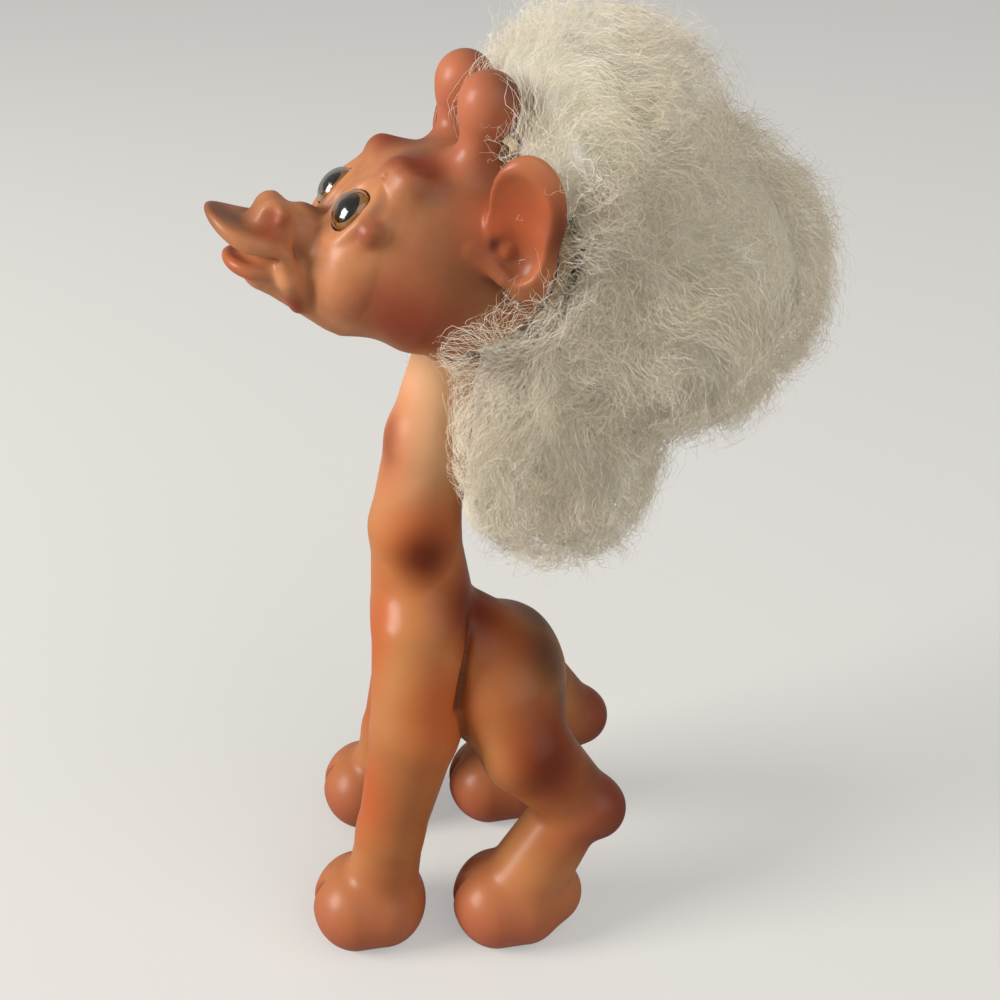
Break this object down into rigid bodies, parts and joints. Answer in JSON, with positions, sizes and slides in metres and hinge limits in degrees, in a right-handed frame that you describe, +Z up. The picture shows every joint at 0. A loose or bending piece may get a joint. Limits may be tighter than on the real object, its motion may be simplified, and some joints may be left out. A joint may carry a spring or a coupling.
{
  "type": "troll doll",
  "caption": "Giraffe-bodied vinyl troll doll standing on round feet, with horns, cupped ears, domed eyes, a turning head and a long mohair mane.",
  "frame": {"origin": "on the ground plane, under the middle of the whole doll's bounding box, mane included", "axes": "+Z up; the body faces -Y; the doll's left side is +X; the head is turned about 14 degrees to its left in the rest pose"},
  "size_m": [0.1058, 0.1814, 0.3014],
  "materials": {
    "body_vinyl": "satin airbrushed soft vinyl, tan with red-brown patches",
    "head_vinyl": "satin airbrushed soft vinyl, pinkish tan",
    "eye_amber": "glossy",
    "eye_black": "glossy",
    "eye_dome": "polished clear dome",
    "mane_backing": "matte tanned hide",
    "mohair": "fine frizzy cream mohair"
  },
  "bodies": {
    "body": {"body_shell": "body_vinyl"},
    "head": {"head_shell": "head_vinyl", "eye_iris_left": "eye_amber", "eye_iris_right": "eye_amber", "eye_pupil_left": "eye_black", "eye_pupil_right": "eye_black", "eye_lens_left": "eye_dome", "eye_lens_right": "eye_dome", "mane_hide": "mane_backing", "mane_crown": "mohair", "mane_back": "mohair", "mane_nape": "mohair"}
  },
  "joints": [
    {"name": "head_turn", "type": "hinge", "parent": "body", "child": "head", "pos_m": [0.0045, -0.02577, 0.2065], "axis": [0, 0.2079, 0.9781], "continuous": true}
  ]
}
